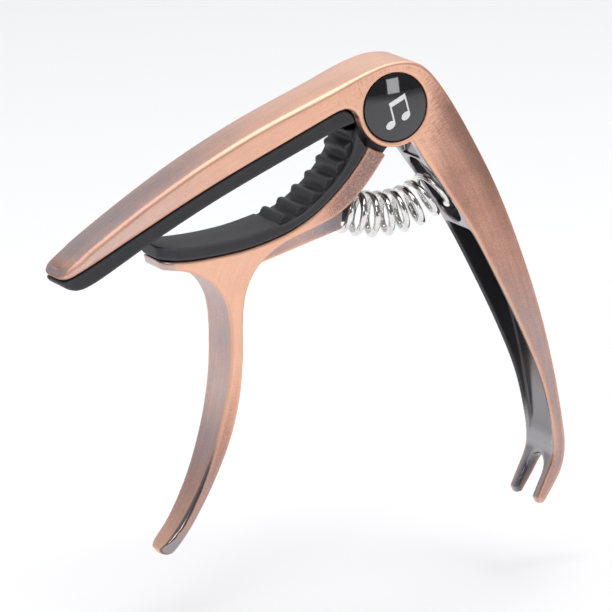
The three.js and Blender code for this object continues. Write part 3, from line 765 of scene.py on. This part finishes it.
class Look:
    """A material and a short way to add nodes to it."""

    def __init__(self, name, **sockets):
        self.material = bpy.data.materials.new(name)
        self.material.use_nodes = True
        self.tree = self.material.node_tree
        self.shader = self.tree.nodes["Principled BSDF"]
        for socket, value in sockets.items():
            self.shader.inputs[socket.replace("_", " ")].default_value = value

    def add(self, kind, inputs=None, **settings):
        node = self.tree.nodes.new(kind)
        for key, value in settings.items():
            setattr(node, key, value)
        for socket, value in (inputs or {}).items():
            self.set(node.inputs[socket], value)
        return node

    def set(self, socket, value):
        if isinstance(value, bpy.types.NodeSocket):
            self.tree.links.new(value, socket)
        else:
            socket.default_value = value

    def math(self, operation, a, b=0.0, c=0.0):
        node = self.add("ShaderNodeMath", {0: a, 1: b, 2: c}, operation=operation)
        return node.outputs[0]

    def attribute(self, name, output="Fac"):
        return self.add("ShaderNodeAttribute", attribute_name=name).outputs[output]

    def stretched(self, vector, scale, **noise):
        """Noise on coordinates stretched by a scale for each axis."""
        moved = self.add("ShaderNodeVectorMath", {0: vector, 1: scale}, operation="MULTIPLY")
        settings = {"Vector": moved.outputs[0], "Scale": 1.0, **noise}
        return self.add("ShaderNodeTexNoise", settings).outputs["Fac"]

    def place(self):
        """The surface's own coordinates, in millimetres."""
        texture = self.add("ShaderNodeTexCoord").outputs["Object"]
        scaled = self.add("ShaderNodeVectorMath", {0: texture, 1: (1 / MM,) * 3}, operation="MULTIPLY")
        return scaled.outputs[0]

    def ramp(self, factor, stops):
        node = self.add("ShaderNodeValToRGB", {"Fac": factor})
        elements = node.color_ramp.elements
        while len(elements) < len(stops):
            elements.new(0.5)
        for element, (position, color) in zip(elements, stops):
            element.position = position
            element.color = (*color, 1)
        return node.outputs["Color"]

    def mix(self, factor, a, b):
        node = self.add("ShaderNodeMix", {"Factor": factor, "A": a, "B": b}, data_type="RGBA")
        return node.outputs["Result"]

    def bump(self, height, distance, strength=1.0, normal=None):
        inputs = {"Height": height, "Distance": distance, "Strength": strength}
        if normal is not None:
            inputs["Normal"] = normal
        return self.add("ShaderNodeBump", inputs).outputs["Normal"]

    def finish(self, **sockets):
        for socket, value in sockets.items():
            self.set(self.shader.inputs[socket.replace("_", " ")], value)
        return self.material


def copper_look():
    """Brushed copper with patina and a grey film, over grey plating and a dark colour that mostly paints
    shade.
    """
    look = Look("antique_copper")
    grain = look.attribute("grain", "Vector")
    streak = look.stretched(grain, (0.22, 7.0, 7.0), Detail=4.0, Roughness=0.6)
    broad = look.stretched(grain, (0.035, 1.4, 1.4), Detail=2.0)
    cross = look.stretched(grain, (5.5, 0.5, 0.5), Detail=3.0)
    blotch = look.stretched(look.place(), (0.22, 0.22, 0.22), Detail=3.0)
    speckle = look.stretched(look.place(), (4.2, 4.2, 4.2), Detail=4.0, Roughness=0.7)
    patina, edge = look.attribute("patina"), look.attribute("edge")
    cast, plated = look.attribute("cast"), look.attribute("plated")
    dull, dark, brush = look.attribute("dull"), look.attribute("dark"), look.attribute("brush")
    # How brown the copper is: patina, varied by the noises and rubbed off the edges.
    tone = look.math("MULTIPLY_ADD", look.math("SUBTRACT", streak, 0.5), 0.26, patina)
    tone = look.math("MULTIPLY_ADD", look.math("SUBTRACT", broad, 0.5), 0.25, tone)
    tone = look.math("MULTIPLY_ADD", look.math("SUBTRACT", blotch, 0.5), 0.30, tone)
    grit = look.math("MULTIPLY_ADD", cast, 1.4, 0.85)
    tone = look.math("MULTIPLY_ADD", look.math("SUBTRACT", speckle, 0.5), grit, tone)
    brushed = look.math("MULTIPLY", look.math("SUBTRACT", cross, 0.47), brush)
    tone = look.math("MULTIPLY_ADD", brushed, 1.1, tone)
    tone = look.math("MULTIPLY_ADD", edge, -0.5, tone)
    color = look.ramp(tone, [
        (0.0, (0.91, 0.545, 0.385)), (0.3, (0.80, 0.45, 0.325)), (0.65, (0.50, 0.27, 0.205)),
        (1.0, (0.27, 0.15, 0.115)),
    ])
    film = look.ramp(tone, [
        (0.0, (0.80, 0.66, 0.62)), (0.5, (0.50, 0.41, 0.41)), (1.0, (0.30, 0.26, 0.27)),
    ])
    # How much of the grey film covers the copper.
    cloud = look.math("MULTIPLY_ADD", look.math("SUBTRACT", blotch, 0.5), 0.9, dull)
    cloud = look.math("MULTIPLY_ADD", edge, -1.2, cloud)
    cloud = look.add("ShaderNodeClamp", {"Value": look.math("MULTIPLY", cloud, dull)}).outputs[0]
    cloud = look.math("MAXIMUM", cloud, look.math("MULTIPLY", dull, 0.25))
    color = look.mix(cloud, color, film)
    color = look.mix(plated, color, GREY_PLATING)
    # Dark colour: painted shade and a painted dark reflection, and the lever's dark eye and tongue.
    color = look.mix(dark, color, DARK_AND_PAINTED_SHADE)
    # Roughness, which plating lowers.
    satin = look.math("MULTIPLY_ADD", streak, 0.14, 0.27)
    satin = look.math("MULTIPLY_ADD", edge, 0.24, satin)
    satin = look.math("MULTIPLY_ADD", dull, 0.08, satin)
    shine = look.math("MULTIPLY", look.math("MULTIPLY_ADD", plated, -0.86, 1.0), satin)
    normal = look.bump(streak, FINE_BUMP, 0.55)
    normal = look.bump(speckle, CAST_BUMP, look.math("MULTIPLY_ADD", cast, 0.9, 0.06), normal)
    metal = look.math("MULTIPLY_ADD", dark, -0.6, 1.0)
    return look.finish(Base_Color=color, Metallic=metal, Roughness=shine, Normal=normal)


def silicone_look(name, dark, light, roughness):
    look = Look(name)
    fine = look.stretched(look.place(), (9.0, 9.0, 9.0), Detail=3.0)
    broad = look.stretched(look.place(), (0.25, 0.25, 0.25), Detail=2.0)
    edge = look.attribute("edge")
    # Painted sheen on edges and rib crests and painted shade in hollows; the broad noise is the rubber's
    # own uneven tone.
    tone = look.math("MULTIPLY_ADD", edge, 0.6, look.math("MULTIPLY_ADD", broad, 0.5, 0.15))
    color = look.ramp(tone, [(0.0, dark), (0.9, light)])
    satin = look.math("MULTIPLY_ADD", fine, 0.16, roughness)
    normal = look.bump(fine, SILICONE_BUMP, 0.5)
    return look.finish(Base_Color=color, Roughness=satin, Normal=normal)


def nickel_look():
    look = Look("bright_nickel")
    drawn = look.stretched(look.place(), (1.5, 1.5, 1.5), Detail=4.0)
    color = look.ramp(drawn, [(0.3, (0.70, 0.69, 0.67)), (0.7, (0.86, 0.85, 0.83))])
    shine = look.math("MULTIPLY_ADD", drawn, 0.08, 0.05)
    normal = look.bump(drawn, FINE_BUMP, 0.3)
    return look.finish(Base_Color=color, Metallic=1.0, Roughness=shine, Normal=normal)


def steel_look():
    look = Look("plain_steel")
    lathed = look.stretched(look.place(), (0.6, 6.0, 0.6), Detail=3.0)
    color = look.ramp(lathed, [(0.3, (0.36, 0.36, 0.37)), (0.7, (0.55, 0.55, 0.56))])
    shine = look.math("MULTIPLY_ADD", lathed, 0.2, 0.2)
    normal = look.bump(lathed, FINE_BUMP, 0.3)
    return look.finish(Base_Color=color, Metallic=1.0, Roughness=shine, Normal=normal)


def plastic_look(name, dark, light, roughness, coat=0.0):
    look = Look(name)
    fine = look.stretched(look.place(), (4.0, 4.0, 4.0), Detail=3.0)
    color = look.ramp(fine, [(0.3, dark), (0.7, light)])
    satin = look.math("MULTIPLY_ADD", fine, 0.04, roughness)
    look.shader.inputs["Coat Weight"].default_value = coat
    look.shader.inputs["Coat Roughness"].default_value = 0.02
    normal = look.bump(fine, GLOSS_BUMP, 0.15)
    return look.finish(Base_Color=color, Roughness=satin, Normal=normal)


# ---- studio ----
def add_light(name, place, aim, width, height, power):
    light = bpy.data.lights.new(name, "AREA")
    light.shape = "RECTANGLE"
    light.size, light.size_y = width, height
    light.energy = power
    lamp = bpy.data.objects.new(name, light)
    bpy.context.scene.collection.objects.link(lamp)
    lamp.location = place
    lamp.rotation_euler = (Vector(aim) - Vector(place)).to_track_quat("-Z", "Y").to_euler()
    lamp.visible_camera = False


def make_studio():
    floor_mesh = bpy.data.meshes.new("floor")
    reach = 6.0
    corners = [(-reach, -reach, 0), (reach, -reach, 0), (reach, reach, 0), (-reach, reach, 0)]
    floor_mesh.from_pydata(corners, [], [(0, 1, 2, 3)])
    floor = bpy.data.objects.new("floor", floor_mesh)
    bpy.context.scene.collection.objects.link(floor)
    floor.location.z = cad_low.z - FLOOR_DROP
    look = Look("pale_floor", Roughness=0.9)
    floor_mesh.materials.append(look.finish(Base_Color=FLOOR_COLOR))
    world = bpy.data.worlds.new("studio")
    bpy.context.scene.world = world
    world.use_nodes = True
    tree = world.node_tree
    # The surroundings are dimmer in front of the capo than behind it.
    direction = tree.nodes.new("ShaderNodeTexCoord").outputs["Generated"]
    parts = tree.nodes.new("ShaderNodeSeparateXYZ")
    tree.links.new(direction, parts.inputs[0])
    shade = tree.nodes.new("ShaderNodeMapRange")
    shade.inputs["From Min"].default_value = -0.6
    shade.inputs["From Max"].default_value = 0.9
    shade.inputs["To Min"].default_value = 0.16
    shade.inputs["To Max"].default_value = 0.66
    tree.links.new(parts.outputs["Y"], shade.inputs["Value"])
    tree.links.new(shade.outputs["Result"], tree.nodes["Background"].inputs["Strength"])
    tree.nodes["Background"].inputs["Color"].default_value = SKY_COLOR
    # Places and sizes in metres, power in watts. The softbox is there to be mirrored in the badge.
    middle, badge = (0, 0, 0.045), (0.0167, 0, 0.079)
    add_light("overhead", (0.0, -0.15, 1.3), middle, 1.6, 1.6, 19)
    add_light("front_left", (-0.9, -1.0, 0.75), middle, 0.5, 0.5, 2.4)
    add_light("back_right", (0.55, 1.2, 0.8), middle, 0.9, 0.9, 0.9)
    add_light("softbox", (0.40, -0.9, 0.155), badge, 0.17, 0.18, 0.4)
    bpy.context.scene.view_settings.view_transform = "Standard"


def aim_camera():
    """Looks from the left and a little above, with the picture's right side dipping slightly."""
    distance, roll = 1.101, math.radians(-1.7)
    azimuth, elevation = math.radians(-25.0), math.radians(13.5)
    level = math.cos(elevation)
    back = Vector((math.sin(azimuth) * level, -math.cos(azimuth) * level, math.sin(elevation)))
    data = bpy.data.cameras.new("camera")
    data.lens, data.sensor_width = 352.9, 36
    data.clip_end = 20
    camera = bpy.data.objects.new("camera", data)
    bpy.context.scene.collection.objects.link(camera)
    camera.location = Vector((0.0002, 0, 0.0427)) + back * distance
    camera.rotation_mode = "QUATERNION"
    camera.rotation_quaternion = (-back).to_track_quat("-Z", "Y") @ Quaternion((0, 0, 1), roll)
    bpy.context.scene.camera = camera


aim_camera()
make_studio()
copper = copper_look()
nylon = plastic_look("black_nylon", (0.012, 0.012, 0.014), (0.025, 0.025, 0.028), 0.45)
film = plastic_look("black_film", (0.006, 0.006, 0.008), (0.012, 0.012, 0.015), 0.3)
resin = plastic_look("gloss_resin", (0.004, 0.004, 0.006), (0.009, 0.009, 0.012), 0.03, coat=1.0)
white_ink = plastic_look("white_print", (0.80, 0.80, 0.80), (0.88, 0.88, 0.88), 0.12, coat=1.0)
make_frame(copper)
make_lever(copper)
make_string_pad(silicone_look("matte_silicone", (0.012, 0.012, 0.015), (0.04, 0.04, 0.047), 0.5))
make_neck_pad(silicone_look("satin_silicone", (0.012, 0.012, 0.015), (0.042, 0.042, 0.05), 0.46))
make_spring(nickel_look())
for side, label in ((-1, "front"), (1, "back")):
    make_badge(side, label, film, resin, white_ink)
    dress(f"thrust_washer_{label}", nylon)
dress("pivot_pin", steel_look())
